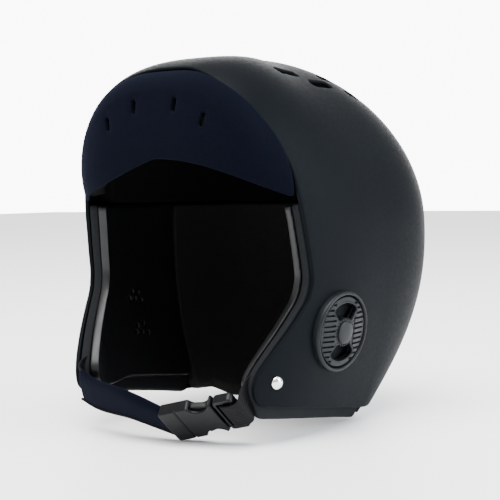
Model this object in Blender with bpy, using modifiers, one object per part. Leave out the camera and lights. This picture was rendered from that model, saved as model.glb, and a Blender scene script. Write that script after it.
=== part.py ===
"""Open-face water helmet: moulded shell, neoprene brow panel, foam liner,
ear vents with turning shutters, and a chin strap with a side-release buckle.

Metres, +Z up. The face opening looks along -Y, the wearer's left is +X.
The helmet stands on its lower foam rim and on the buckle.
"""
import math

import bmesh
import bpy
from mathutils import Matrix, Vector

for old in list(bpy.data.objects):
    bpy.data.objects.remove(old, do_unlink=True)

# ---------------------------------------------------------------- dimensions
ORIGIN = Vector((0.0, 0.0126, 0.0044))   # design frame -> centre of the footprint

HALF_WIDTH = 0.0975      # shell, widest, outside
FRONT = 0.1268           # outside reach to the front of the widest section
BACK = 0.1105            # and to the back
TOP_Z = 0.2351           # crown
WIDE_Z = 0.1236          # height of the widest section
N_SIDE, N_FRONT = 1.961, 3.314     # fullness of the upper profile
M_PLAN = 2.998                     # fullness of the plan section
M_FRONT_GAIN = 0.452
M_BACK, M_BACK_GAIN, M_BACK_LOSS = 2.820, 0.427, 1.429
SIDE_TAPER, SIDE_POW = 0.2258, 2.396
FRONT_FLARE = 0.2151
BACK_TAPER, BACK_POW = 0.5714, 2.2
CROWN_SHIFT = -0.0145

SHELL_T = 0.0030
GAP = 0.0003
LAYER_GAP = 0.0008       # between the shell and the foam under it
NU, NV = 32, 20          # facets of the dome layers, shared so that they nest
LINER_IN = 0.0095        # depth of the side liner's inner face
PAD_OUT, PAD_IN = 0.0104, 0.0158
CROWN_PAD_IN = 0.0150

# brow panel, its own fuller surface
BROW_FRONT, BROW_HALF = 0.1139, 0.0983
BROW_M, BROW_M_GAIN, BROW_N, BROW_SHIFT = 3.854, 0.415, 3.011, -0.0290
BROW_T = 0.0026

VENT_C = Vector((0.0919, -0.0496, 0.0606))
VENT_N = Vector((0.985, -0.080, -0.150)).normalized()
RIVET_C = Vector((0.0779, -0.0985, 0.0338))
RIVET_N = Vector((0.93, -0.34, -0.13)).normalized()
TAB_X = 0.0664           # plane of the webbing at the rivets
WEB_W, WEB_T = 0.0200, 0.0016

# face opening in side view (y, z), from above the crown to the lower corner
EDGE = [(-0.0900, 0.2600), (-0.0915, 0.2400), (-0.0936, 0.2290), (-0.0975, 0.2250), (-0.1012, 0.2205),
        (-0.1026, 0.2140), (-0.1010, 0.2066), (-0.0978, 0.1974), (-0.0935, 0.1853),
        (-0.0896, 0.1728), (-0.0862, 0.1579), (-0.0838, 0.1418), (-0.0806, 0.1239),
        (-0.0777, 0.1059), (-0.0763, 0.0938), (-0.0790, 0.0826), (-0.0854, 0.0734),
        (-0.0919, 0.0649), (-0.1009, 0.0537), (-0.1083, 0.0437), (-0.1119, 0.0369),
        (-0.1129, 0.0310), (-0.1124, 0.0268), (-0.1105, 0.0228)]
# lower rim of the shell in side view, front corner to nape
RIM = [(-0.1070, 0.0198), (-0.0895, 0.0172), (-0.0546, 0.0125), (-0.0237, 0.0082), (-0.0050, 0.0052),
       (0.0060, 0.0042), (0.0230, 0.0042), (0.0500, 0.0042), (0.0950, 0.0042)]
RIM_LOW = 0.0042         # level stretch of the rim, above the flat that the helmet stands on
FOAM_DROP = 0.0086       # how far the foam reaches below the shell

# ---------------------------------------------------------------- collections
parts = bpy.data.collections.new("water_helmet")
tools = bpy.data.collections.new("cutters")
bpy.context.scene.collection.children.link(parts)
bpy.context.scene.collection.children.link(tools)


def material(name, rgb, rough, metal=0.0):
    m = bpy.data.materials.new(name)
    m.use_nodes = True
    b = m.node_tree.nodes["Principled BSDF"]
    b.inputs["Base Color"].default_value = (*rgb, 1.0)
    b.inputs["Roughness"].default_value = rough
    b.inputs["Metallic"].default_value = metal
    m.diffuse_color = (*rgb, 1.0)
    return m


SHELL_RGB = (0.020, 0.022, 0.026)
NAVY = (0.008, 0.010, 0.024)
EVA = (0.055, 0.060, 0.065)
BLACK = (0.010, 0.010, 0.012)
PAD_RGB = (0.030, 0.032, 0.036)
NAPE_RGB = (0.060, 0.055, 0.052)
VENT_RGB = (0.026, 0.028, 0.032)


def new_object(name, mesh, cutter=False):
    o = bpy.data.objects.new(name, mesh)
    (tools if cutter else parts).objects.link(o)
    if cutter:
        o.hide_render = True
        o.display_type = "WIRE"
    return o


def finish(o, rgb, rough, metal=0.0, pivot=None, smooth=35.0):
    """Give a node its material, shading and origin, then place it."""
    o.data.materials.clear()
    o.data.materials.append(material(o.name, rgb, rough, metal))
    o.data.shade_smooth()
    o.data.set_sharp_from_angle(angle=math.radians(smooth))
    p = Vector(pivot) if pivot is not None else Vector((0, 0, 0))
    o.data.transform(Matrix.Translation(-p))
    o.location = p + ORIGIN
    return o


def baked(o):
    """Evaluated copy of an object's mesh, in the design frame."""
    bpy.context.view_layer.update()
    dg = bpy.context.evaluated_depsgraph_get()
    me = bpy.data.meshes.new_from_object(o.evaluated_get(dg))
    me.transform(o.matrix_world)
    return me


def boolean(o, cutter, op="DIFFERENCE"):
    m = o.modifiers.new("cut", "BOOLEAN")
    m.operation = op
    m.solver = "EXACT"
    m.object = cutter
    return m


def apply_all(o):
    """Bake the modifiers, then weld slivers just enough to leave a closed skin."""
    me = baked(o)
    o.modifiers.clear()
    o.matrix_world = Matrix.Identity(4)
    for dist in (0.0, 0.000002, 0.00001, 0.00003, 0.00006, 0.0001, 0.00015):
        bm = bmesh.new()
        bm.from_mesh(me)
        if dist:
            bmesh.ops.triangulate(bm, faces=[f for f in bm.faces if len(f.verts) > 4])
            bmesh.ops.remove_doubles(bm, verts=bm.verts, dist=dist)
            bmesh.ops.dissolve_degenerate(bm, edges=bm.edges, dist=dist)
        closed = all(len(e.link_faces) == 2 for e in bm.edges)
        if closed:
            bm.to_mesh(me)
            bm.free()
            break
        bm.free()
    o.data = me
    return o


def mirrored(o, name):
    """The other side's copy of a finished design-frame mesh."""
    me = baked(o)
    me.transform(Matrix.Scale(-1.0, 4, (1, 0, 0)))
    me.flip_normals()
    return new_object(name, me)


# ---------------------------------------------------------------- surfaces
def spow(v, e):
    return math.copysign(abs(v) ** e, v)


def plan_angle(beta, m, half, reach):
    """Parameter whose point of the section lies in plan direction beta."""
    c, s = math.cos(beta), math.sin(beta)
    return math.atan2(spow(s / reach, m / 2), spow(c / half, m / 2))


def dome(beta, s):
    """Outer shell surface: s 0 crown, 1 widest section, 2 the level z = 0."""
    front = math.sin(beta) < 0
    w = max(s - 1.0, 0.0)
    if front:
        m = M_PLAN + M_FRONT_GAIN * w
        reach = FRONT * (1 + FRONT_FLARE * w ** SIDE_POW)
    else:
        m = M_BACK + M_BACK_GAIN * w - M_BACK_LOSS * w * w
        reach = BACK * (1 - BACK_TAPER * w ** BACK_POW)
    half = HALF_WIDTH * (1 - SIDE_TAPER * w ** SIDE_POW)
    phi = plan_angle(beta, m, half, reach)
    c, sn = math.cos(phi), math.sin(phi)
    if s <= 1:
        h = math.cos(s * math.pi / 2)
        n = N_SIDE + ((N_FRONT - N_SIDE) * sn * sn if front else 0.0)
        z = WIDE_Z + (TOP_Z - WIDE_Z) * h ** (2 / N_SIDE)
        r = max(1 - h ** (2 * n / N_SIDE), 0.0) ** (1 / n)
    else:
        h, z, r = 0.0, WIDE_Z * (2 - s), 1.0
    return Vector((half * r * spow(c, 2 / m), CROWN_SHIFT * h * h + reach * r * spow(sn, 2 / m), z))


def brow(beta, s):
    """Outer surface of the soft brow panel, front half only."""
    if s <= 1:
        z = WIDE_Z + (TOP_Z - WIDE_Z) * max(math.cos(s * math.pi / 2), 0.0) ** (2 / N_SIDE)
    else:
        z = WIDE_Z * (2 - s)
    k = min(max((z - WIDE_Z) / (TOP_Z - WIDE_Z), 1e-6), 0.99999)
    m = BROW_M + BROW_M_GAIN * (z - 0.16) / 0.04
    rx = (1 - k ** N_SIDE) ** (1 / N_SIDE)
    ry = (1 - k ** BROW_N) ** (1 / BROW_N)
    reach = BROW_FRONT - 0.0069 * max((0.175 - z) / 0.03, 0.0) ** 2
    phi = plan_angle(beta, m, BROW_HALF, reach)
    return Vector((BROW_HALF * rx * spow(math.cos(phi), 2 / m),
                   BROW_SHIFT * k ** N_SIDE + reach * ry * spow(math.sin(phi), 2 / m), z))


def offset_point(f, beta, s, depth):
    """Point `depth` inside the surface f, along its normal."""
    e = 0.004
    s = max(s, 2 * e)
    p = f(beta, s)
    if abs(depth) < 1e-9:
        return p
    du = f(beta + e, s) - f(beta - e, s)
    dv = f(beta, s + e) - f(beta, s - e)
    n = du.cross(dv)
    n.normalize()
    if n.dot(p - Vector((0, -0.01, 0.10))) < 0:
        n = -n
    return p - n * depth


def layer(name, f, outer, inner, nu, nv, s_max=2.08, cutter=False):
    """Closed layer between two depths under the surface f, open underneath."""
    sides = []
    for depth in (outer, inner):
        bm = bmesh.new()
        bmesh.ops.create_uvsphere(bm, u_segments=nu, v_segments=nv, radius=1.0)
        low = min(bm.verts, key=lambda v: v.co.z)
        bmesh.ops.delete(bm, geom=[low], context="VERTS")
        s_step = s_max / (nv - 1) if nv else 1
        for v in bm.verts:
            alpha = math.acos(max(-1.0, min(1.0, v.co.z)))
            s = alpha / math.pi * nv * s_step
            top = (v.co.x ** 2 + v.co.y ** 2) < 1e-8
            v.co = offset_point(f, math.atan2(v.co.y, v.co.x) if not top else math.pi / 2, s, depth)
            if top:
                v.co.x = 0.0
        sides.append(bm)
    outer_bm, inner_bm = sides
    bmesh.ops.recalc_face_normals(outer_bm, faces=outer_bm.faces)
    bmesh.ops.recalc_face_normals(inner_bm, faces=inner_bm.faces)
    me = bpy.data.meshes.new(name)
    inner_me = bpy.data.meshes.new(name + "_in")
    for b in sides:
        up = max(b.faces, key=lambda q: q.calc_center_median().z)
        if (up.normal.z > 0) != (b is outer_bm):
            bmesh.ops.reverse_faces(b, faces=b.faces)
    inner_bm.to_mesh(inner_me)
    outer_bm.from_mesh(inner_me)
    rim = [e for e in outer_bm.edges if e.is_boundary]
    bmesh.ops.bridge_loops(outer_bm, edges=rim)
    bmesh.ops.recalc_face_normals(outer_bm, faces=outer_bm.faces)
    outer_bm.to_mesh(me)
    for b in sides:
        b.free()
    bpy.data.meshes.remove(inner_me)
    return new_object(name, me, cutter)


def core(name, f, depth, nu, nv, s_max=2.08):
    """Closed solid of everything deeper than `depth` under the surface f."""
    bm = bmesh.new()
    bmesh.ops.create_uvsphere(bm, u_segments=nu, v_segments=nv, radius=1.0)
    low = min(bm.verts, key=lambda v: v.co.z)
    s_step = s_max / (nv - 1)
    for v in bm.verts:
        if v is low:
            continue
        alpha = math.acos(max(-1.0, min(1.0, v.co.z)))
        top = (v.co.x ** 2 + v.co.y ** 2) < 1e-8
        v.co = offset_point(f, math.atan2(v.co.y, v.co.x) if not top else math.pi / 2,
                            alpha / math.pi * nv * s_step, depth)
        if top:
            v.co.x = 0.0
    low.co = Vector((0, 0, WIDE_Z * (2 - s_max)))
    bmesh.ops.recalc_face_normals(bm, faces=bm.faces)
    me = bpy.data.meshes.new(name)
    bm.to_mesh(me)
    bm.free()
    return new_object(name, me, True)


# ---------------------------------------------------------------- outlines
def spline(points, steps=3):
    """Smooth curve through the points (Catmull-Rom)."""
    out = []
    n = len(points)
    for i in range(n - 1):
        p0, p1 = points[max(i - 1, 0)], points[i]
        p2, p3 = points[i + 1], points[min(i + 2, n - 1)]
        for k in range(steps):
            t = k / steps
            out.append(tuple(0.5 * (2 * b + (c - a) * t + (2 * a - 5 * b + 4 * c - d) * t * t
                                    + (3 * b - a - 3 * c + d) * t ** 3)
                             for a, b, c, d in zip(p0, p1, p2, p3)))
    out.append(tuple(points[-1]))
    return out


def along_x(x0, x1):
    """Flat outline (y, z) standing in the YZ plane between x0 and x1."""
    return Matrix(((0, 0, 1, (x0 + x1) / 2), (1, 0, 0, 0), (0, 1, 0, 0), (0, 0, 0, 1))), abs(x1 - x0) / 2


def along_y(y0, y1):
    """Flat outline (x, z) standing in the XZ plane between y0 and y1."""
    return Matrix(((1, 0, 0, 0), (0, 0, -1, (y0 + y1) / 2), (0, 1, 0, 0), (0, 0, 0, 1))), abs(y1 - y0) / 2


def frame_at(origin, n, up=Vector((0, 0, 1))):
    """Local frame with its z along n and its y near `up`."""
    z = Vector(n).normalized()
    x = up.cross(z).normalized()
    y = z.cross(x)
    m = Matrix((x, y, z)).transposed().to_4x4()
    m.translation = origin
    return m


def prism(name, outline, matrix, half, cutter=True):
    """Extruded flat outline; every outline is a filled 2D curve."""
    cu = bpy.data.curves.new(name, "CURVE")
    cu.dimensions = "2D"
    cu.fill_mode = "BOTH"
    cu.extrude = half
    sp = cu.splines.new("POLY")
    sp.points.add(len(outline) - 1)
    for q, (a, b) in zip(sp.points, outline):
        q.co = (a, b, 0, 1)
    sp.use_cyclic_u = True
    tmp = bpy.data.objects.new(name + "_curve", cu)
    tools.objects.link(tmp)
    tmp.matrix_world = matrix
    bpy.context.view_layer.update()
    me = bpy.data.meshes.new_from_object(tmp.evaluated_get(bpy.context.evaluated_depsgraph_get()))
    me.transform(matrix)
    bpy.data.objects.remove(tmp, do_unlink=True)
    bm = bmesh.new()
    bm.from_mesh(me)
    bmesh.ops.remove_doubles(bm, verts=bm.verts, dist=0.000005)
    bmesh.ops.recalc_face_normals(bm, faces=bm.faces)
    bm.to_mesh(me)
    bm.free()
    me.materials.clear()
    return new_object(name, me, cutter)


def stadium(length, width, steps=4):
    r = width / 2
    a = length / 2 - r
    pts = []
    for k in range(steps + 1):
        t = -math.pi / 2 + math.pi * k / steps
        pts.append((a + r * math.cos(t), r * math.sin(t)))
    for k in range(steps + 1):
        t = math.pi / 2 + math.pi * k / steps
        pts.append((-a + r * math.cos(t), r * math.sin(t)))
    return pts


def box(name, lo, hi, cutter=False, matrix=None, bevel=0.0):
    bm = bmesh.new()
    bmesh.ops.create_cube(bm, size=1.0)
    lo, hi = Vector(lo), Vector(hi)
    for v in bm.verts:
        v.co = Vector(((lo[i] + hi[i]) / 2 + v.co[i] * (hi[i] - lo[i]) for i in range(3)))
    if bevel:
        bmesh.ops.bevel(bm, geom=bm.edges, offset=bevel, segments=2, affect="EDGES", profile=0.5)
    me = bpy.data.meshes.new(name)
    bm.to_mesh(me)
    bm.free()
    if matrix is not None:
        me.transform(matrix)
    return new_object(name, me, cutter)


def lathe(name, profile, matrix, steps=32, cutter=False):
    """Turned shape: (r, t) profile down its outer side, t along the local z."""
    me = bpy.data.meshes.new(name)
    bm = bmesh.new()
    vs = [bm.verts.new((r, 0, t)) for r, t in profile]
    for a, b in zip(vs, vs[1:]):
        bm.edges.new((a, b))
    if profile[0][0] > 1e-6 and profile[-1][0] > 1e-6:
        bm.edges.new((vs[-1], vs[0]))
    bm.to_mesh(me)
    bm.free()
    o = new_object(name, me, cutter)
    m = o.modifiers.new("turn", "SCREW")
    m.axis = "Z"
    m.steps = m.render_steps = steps
    m.use_merge_vertices = True
    m.merge_threshold = 0.00005
    m.use_smooth_shade = True
    apply_all(o)
    bm = bmesh.new()
    bm.from_mesh(o.data)
    bmesh.ops.remove_doubles(bm, verts=bm.verts, dist=0.00005)
    bmesh.ops.recalc_face_normals(bm, faces=bm.faces)
    bm.to_mesh(o.data)
    bm.free()
    o.data.transform(matrix)
    return o


def rod(name, a, b, r, cutter=False, steps=20):
    a, b = Vector(a), Vector(b)
    bm = bmesh.new()
    bmesh.ops.create_cone(bm, cap_ends=True, segments=steps, radius1=r, radius2=r, depth=(b - a).length)
    me = bpy.data.meshes.new(name)
    bm.to_mesh(me)
    bm.free()
    up = Vector((0, 0, 1)) if abs((b - a).normalized().z) < 0.9 else Vector((1, 0, 0))
    me.transform(frame_at((a + b) / 2, b - a, up))
    return new_object(name, me, cutter)


def shifted(points, dy=0.0, dz=0.0):
    return [(y + dy, z + dz) for y, z in points]


# ================================================================ outer shell
edge_curve = spline(EDGE, 2)
rim_curve = [(y, max(z, RIM_LOW)) for y, z in spline(RIM, 2)]


def outside(edge_dy, rim_dz):
    """Closed side outline of all that lies before the face opening or below the rim."""
    return (shifted(edge_curve, edge_dy) + shifted(rim_curve, 0, rim_dz)
            + [(0.16, RIM_LOW + rim_dz), (0.16, -0.08), (-0.22, -0.08), (-0.22, 0.26)])


shell = layer("outer_shell", dome, 0.0, SHELL_T, NU, NV)
m_x, h_x = along_x(-0.14, 0.14)
boolean(shell, prism("cut_face", outside(0, 0), m_x, h_x))

SLOTS = [((0.0442, -0.0339, 0.2231), (0.52, 0.07, 0.85)), ((0.0531, -0.0072, 0.2163), (0.61, 0.0, 0.79)),
         ((0.0445, 0.0157, 0.2207), (0.48, 0.14, 0.86)), ((0.0565, 0.0300, 0.2096), (0.60, 0.20, 0.77))]
for side in (1, -1):
    tag = "L" if side > 0 else "R"
    for k, (pos, nrm) in enumerate(SLOTS):
        p = Vector((pos[0] * side, pos[1], pos[2]))
        n = Vector((nrm[0] * side, nrm[1], nrm[2]))
        m = frame_at(p, n, Vector((1, 0, 0)))
        boolean(shell, prism("cut_slot_%s%d" % (tag, k), stadium(0.0235, 0.0075), m, 0.010))
    c = Vector((VENT_C.x * side, VENT_C.y, VENT_C.z))
    n = Vector((VENT_N.x * side, VENT_N.y, VENT_N.z))
    boolean(shell, rod("cut_vent_" + tag, c - n * 0.012, c + n * 0.012, 0.0205, True, 28))
    c = Vector((RIVET_C.x * side, RIVET_C.y, RIVET_C.z))
    n = Vector((RIVET_N.x * side, RIVET_N.y, RIVET_N.z))
    boolean(shell, rod("cut_rivet_" + tag, c - n * 0.008, c + n * 0.008, 0.0027, True, 16))
apply_all(shell)
finish(shell, SHELL_RGB, 0.45)

# ================================================================ brow panel and pad
SEAM_GAP = 0.0006


def brow_low(x):
    """Height of the soft panel's lower edge; the free edge droops a little on the right."""
    droop = 0.0075 * math.sin(math.pi * min(abs(x) / 0.088, 1.0)) if x < 0 else 0.0
    return 0.1678 - 3.70 * x * x + 21.0 * x ** 4 - droop


def brow_window(name, edge_dy, low_dz):
    """Solid in front of the seam and above the lower edge."""
    m, h = along_x(-0.12, 0.12)
    front = prism(name, [q for q in shifted(edge_curve, edge_dy) if q[1] > 0.128]
                  + [(-0.20, 0.128), (-0.20, 0.26)], m, h)
    xs = [-0.10 + 0.005 * i for i in range(41)]
    m2, h2 = along_y(-0.22, 0.0)
    low = prism(name + "_low", [(x, brow_low(x) + low_dz) for x in xs] + [(0.10, 0.02), (-0.10, 0.02)], m2, h2)
    boolean(front, low)
    apply_all(front)
    return front


panel = layer("brow_panel", brow, 0.0, BROW_T, 36, 22, 1.40)
boolean(panel, brow_window("keep_panel", -SEAM_GAP, 0.0), "INTERSECT")
for k, (x, z, lean) in enumerate([(0.0164, 0.2027, 0.10), (0.0384, 0.1926, 0.26),
                                   (-0.0164, 0.2027, -0.10), (-0.0384, 0.1926, -0.26)]):
    n = Vector((x * 6.0, -0.88, 0.42)).normalized()
    m = frame_at(Vector((x, -0.118, z)), n, Vector((lean, 0, 1)))
    boolean(panel, prism("cut_brow_slot_%d" % k, [(b, a) for a, b in stadium(0.0085, 0.0030)], m, 0.014))
apply_all(panel)
finish(panel, NAVY, 0.95)

# firm foam brow pad behind the panel, up to the crown pad
brow_pad = layer("brow_pad", brow, BROW_T + GAP, 0.0138, 36, 22, 1.40)
boolean(brow_pad, brow_window("keep_brow_pad", -0.0010, 0.0015), "INTERSECT")
apply_all(brow_pad)
finish(brow_pad, EVA, 0.9)

# ================================================================ liner under the shell
LINER_TOP = 0.1400
SPLIT_Y = 0.0055         # where the ear part of the liner meets the nape part


def foam_outline(edge_dy, rim_dz, y0, y1, z0, z1):
    """Side outline of a foam piece: behind the face opening, above its own lower edge."""
    face = [q for q in shifted(edge_curve, edge_dy) if z0 < q[1] < z1 and y0 <= q[0] <= y1]
    low = [q for q in shifted(rim_curve, 0, rim_dz) if y0 <= q[0] <= y1]
    return face, low


def half_layer(name, outer, inner, outline, nu=NU, nv=NV):
    """One side's piece of a foam layer, cut to an outline in side view."""
    o = layer(name, dome, outer, inner, nu, nv)
    m, h = along_x(0.0005, 0.14)
    boolean(o, prism("keep_" + name, outline, m, h), "INTERSECT")
    return o


def ramp(v, v0, v1):
    """0 below v0, 1 above v1, smooth between."""
    t = min(max((v - v0) / (v1 - v0), 0.0), 1.0)
    return t * t * (3 - 2 * t)


RIGHT_LIFT = 0.0062      # the right-hand foam sits this much higher in the shell, up to the nape
RIGHT_PAD_LIFT = 0.0100
EAR_LOW = [(-0.1146, 0.0330), (-0.1125, 0.0275), (-0.1060, 0.0215), (-0.0950, 0.0160), (-0.0800, 0.0115),
           (-0.0600, 0.0085), (-0.0300, 0.0050), (-0.0080, 0.0022), (SPLIT_Y - 0.0050, 0.0020)]
HOLE_ROWS = [(-0.0475, 0.0776), (-0.0408, 0.0764), (-0.0510, 0.0730), (-0.0448, 0.0724), (-0.0376, 0.0706),
             (-0.0456, 0.0528), (-0.0388, 0.0540), (-0.0480, 0.0484), (-0.0414, 0.0478), (-0.0348, 0.0466)]


def side_liner(name, lift):
    """Grey foam band between the shell and the ear pad."""
    face, low = foam_outline(-0.0010, -FOAM_DROP, -0.20, SPLIT_Y - 0.0015, 0.022, LINER_TOP)
    low = [(y, z + lift) for y, z in low if -0.1040 < y < SPLIT_Y - 0.008]
    outline = ([(-0.0845, LINER_TOP)] + face + [(-0.1060, 0.0118 + lift * 0.5)] + low
               + [(SPLIT_Y - 0.0060, RIM_LOW + 0.0006 - FOAM_DROP + lift)]
               + [(SPLIT_Y - 0.0015, 0.0070 + lift * 0.3), (SPLIT_Y - 0.0015, LINER_TOP)])
    o = half_layer(name, SHELL_T + LAYER_GAP, LINER_IN, outline)
    boolean(o, box("cut_pocket", (0.030, -0.16, -0.03), (0.0678, -0.0830, 0.0520), True))
    boolean(o, rod("cut_liner_vent", VENT_C - VENT_N * 0.020, VENT_C + VENT_N * 0.01, 0.0240, True, 24))
    boolean(o, rod("cut_liner_post", (0.05, RIVET_C.y, RIVET_C.z), (0.09, RIVET_C.y, RIVET_C.z), 0.0065, True))
    return apply_all(o)


def ear_pad(name, lift):
    """Comfort pad over the ear with a rounded front bead and breathing holes."""
    face, _ = foam_outline(-0.0022, -0.0050, -0.20, SPLIT_Y - 0.0015, 0.036, LINER_TOP)
    outline = ([(-0.0860, LINER_TOP)] + face + [(y, z + lift * ramp(y, -0.110, -0.060)) for y, z in EAR_LOW]
               + [(SPLIT_Y - 0.0015, 0.0070 + lift), (SPLIT_Y - 0.0015, LINER_TOP)])
    o = half_layer(name, PAD_OUT, PAD_IN, outline)
    boolean(o, rod("cut_pad_pocket", (0.0652, -0.1085, 0.0335), (0.10, -0.1085, 0.0335), 0.0252, True, 22))
    boolean(o, rod("cut_pad_post", (0.0628, RIVET_C.y, RIVET_C.z), (0.10, RIVET_C.y, RIVET_C.z), 0.0066, True))
    for k, (y, z) in enumerate(HOLE_ROWS):
        boolean(o, rod("cut_hole_%d" % k, (0.05, y, z), (0.10, y, z), 0.0017, True, 8))
    return apply_all(o)


def nape_pad(name, lift):
    """Thick foam behind the ear round to the middle of the nape."""
    stand = RIM_LOW - FOAM_DROP
    low = [(0.0155, stand + lift)]
    if lift:
        low += [(0.0240 + 0.0018 * k, stand + lift * (1 - ramp(k, 0, 4))) for k in range(5)]
    outline = ([(SPLIT_Y + 0.0015, LINER_TOP), (SPLIT_Y + 0.0015, 0.0070 + lift * 0.3),
                (SPLIT_Y + 0.0055, -0.0036 + lift)] + low + [(0.13, stand), (0.13, LINER_TOP)])
    return apply_all(half_layer(name, SHELL_T + LAYER_GAP, 0.0150, outline))


for make, stem, right_lift, rgb, rough in ((side_liner, "side_liner", RIGHT_LIFT, EVA, 0.85),
                                           (ear_pad, "ear_pad", RIGHT_PAD_LIFT, PAD_RGB, 0.5),
                                           (nape_pad, "nape_pad", RIGHT_LIFT, NAPE_RGB, 0.85)):
    finish(make(stem + "_left", 0.0), rgb, rough)
    other = make("right_half", right_lift)
    finish(mirrored(other, stem + "_right"), rgb, rough)
    bpy.data.objects.remove(other, do_unlink=True)

# crown pad: the top of the dome, behind the brow pad
crown = layer("crown_pad", dome, SHELL_T + LAYER_GAP, CROWN_PAD_IN, NU, NV)
m, h = along_x(-0.12, 0.12)
CROWN_LOW = LINER_TOP + 0.0023
crown_outline = ([(y + 0.0150, z) for y, z in edge_curve if z > 0.1500]
                 + [(-0.070, CROWN_LOW), (0.13, CROWN_LOW), (0.13, 0.26)])
boolean(crown, prism("keep_crown", crown_outline, m, h), "INTERSECT")
for side in (1, -1):
    for k, (pos, nrm) in enumerate(SLOTS):
        p = Vector((pos[0] * side, pos[1], pos[2]))
        n = Vector((nrm[0] * side, nrm[1], nrm[2]))
        duct = frame_at(p, n, Vector((1, 0, 0)))
        boolean(crown, prism("cut_duct_%d_%d" % (side, k), stadium(0.0210, 0.0055), duct, 0.030))
apply_all(crown)
finish(crown, EVA, 0.9)

# ================================================================ ear vents
BEZEL = [(0.0226, -0.0040), (0.0253, -0.0040), (0.0253, 0.0012), (0.0249, 0.0024), (0.0241, 0.0030),
         (0.0234, 0.0029), (0.0228, 0.0022), (0.0226, 0.0005)]
DIAL = [(0.0027, 0.0038), (0.0075, 0.0038), (0.0150, 0.0032), (0.0205, 0.0025), (0.0219, 0.0020),
        (0.0219, 0.0008), (0.0027, 0.0008)]
HUB = [(0.0, 0.0052), (0.0060, 0.0051), (0.0072, 0.0046), (0.0072, 0.0042), (0.0024, 0.0042),
       (0.0024, -0.0066), (0.0, -0.0066)]
BASE = [(0.0027, -0.0003), (0.0198, -0.0003), (0.0198, -0.0020), (0.0027, -0.0020)]
NUT = [(0.0201, -0.0060), (0.0230, -0.0060), (0.0230, -0.0078), (0.0201, -0.0078)]
WINDOW_IN, WINDOW_OUT, WINDOW_SPREAD = 0.0090, 0.0180, math.radians(41)
RIB_PITCH, RIB_GROOVE = 0.0032, 0.0009

shell_skin = core("cut_skin", dome, -0.0006, NU, NV)
m = frame_at(VENT_C, VENT_N)
bezel = lathe("vent_bezel_left", BEZEL, m, 28)
boolean(bezel, shell_skin)
apply_all(bezel)
base = lathe("vent_base_left", BASE, m, 24)
dial = lathe("vent_dial_left", DIAL, m, 28)
hub = lathe("vent_hub_left", HUB, m, 14)
nut = lathe("vent_ring_left", NUT, m, 24)


def window(name, ang, r0, r1, spread, mat, half):
    """Rounded fan-shaped window about the direction `ang`."""
    pts = []
    for k in range(9):
        t = ang - spread + 2 * spread * k / 8
        pts.append((r1 * math.cos(t), r1 * math.sin(t)))
    for k in range(5):
        t = ang + spread * 0.62 - 1.24 * spread * k / 4
        pts.append((r0 * math.cos(t), r0 * math.sin(t)))
    return prism(name, pts, mat, half)


for k, ang in enumerate((math.pi / 2, -math.pi / 2)):
    w = window("cut_window_%d" % k, ang, WINDOW_IN, WINDOW_OUT, WINDOW_SPREAD, m, 0.012)
    boolean(base, w)
    boolean(dial, w)
apply_all(base)
# grooves between the finger ribs on the two closed quarters of the dial
for k in range(6):
    y = (k - 2.5) * RIB_PITCH
    for sgn in (1, -1):
        lo = (sgn * 0.0145 - 0.0050, y - RIB_GROOVE / 2, 0.0018)
        hi = (sgn * 0.0145 + 0.0050, y + RIB_GROOVE / 2, 0.0100)
        boolean(dial, box("cut_groove", lo, hi, True, m))
apply_all(dial)
for o, rgb, rough in ((bezel, VENT_RGB, 0.4), (base, BLACK, 0.5), (dial, VENT_RGB, 0.4), (hub, VENT_RGB, 0.45),
                      (nut, BLACK, 0.5)):
    r = mirrored(o, o.name.replace("_left", "_right"))
    pv = VENT_C if o is dial else None
    finish(o, rgb, rough, pivot=pv)
    finish(r, rgb, rough, pivot=None if pv is None else Vector((-pv.x, pv.y, pv.z)))

# ================================================================ rivets and strap posts
m = frame_at(RIVET_C, RIVET_N)
RIVET = [(0.0, 0.0022), (0.0016, 0.0021), (0.0030, 0.0016), (0.0040, 0.0008), (0.0041, 0.0005),
         (0.0023, 0.0005), (0.0023, -0.0036), (0.0, -0.0036)]
POST = [(0.0, 0.0), (0.0024, 0.0), (0.0024, -0.0080), (0.0055, -0.0080), (0.0055, -0.0092), (0.0, -0.0092)]
rivet = lathe("rivet_left", RIVET, m, 14)
post = lathe("strap_post_left", POST, frame_at(Vector((0.0727, RIVET_C.y, RIVET_C.z)), (1, 0, 0)), 12)
for o, rgb, rough, metal in ((rivet, (0.75, 0.75, 0.76), 0.18, 1.0), (post, (0.5, 0.5, 0.5), 0.3, 1.0)):
    r = mirrored(o, o.name.replace("_left", "_right"))
    finish(o, rgb, rough, metal)
    finish(r, rgb, rough, metal)

# ================================================================ chin strap
STRAP_AXIS = Vector((0.0, RIVET_C.y, RIVET_C.z))


def ribbon(name, stations, width, thick, steps=5):
    """Flat band through stations (centre, width direction), one closed solid."""
    flat = [(*c, *w) for c, w in stations]
    path = spline(flat, steps)
    n = len(path)
    bm = bmesh.new()
    bmesh.ops.create_grid(bm, x_segments=n - 1, y_segments=2, size=1.0)
    bm.verts.ensure_lookup_table()
    for v in bm.verts:
        i = round((v.co.x + 1) / 2 * (n - 1))
        c = Vector(path[i][:3])
        w = Vector(path[i][3:]).normalized()
        v.co = c + w * (v.co.y * width / 2)
    me = bpy.data.meshes.new(name)
    bm.to_mesh(me)
    bm.free()
    o = new_object(name, me)
    s = o.modifiers.new("thick", "SOLIDIFY")
    s.thickness = thick
    s.offset = 0.0
    s.use_even_offset = True
    apply_all(o)
    bm = bmesh.new()
    bm.from_mesh(o.data)
    bmesh.ops.recalc_face_normals(bm, faces=bm.faces)
    bm.to_mesh(o.data)
    bm.free()
    return o


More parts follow.
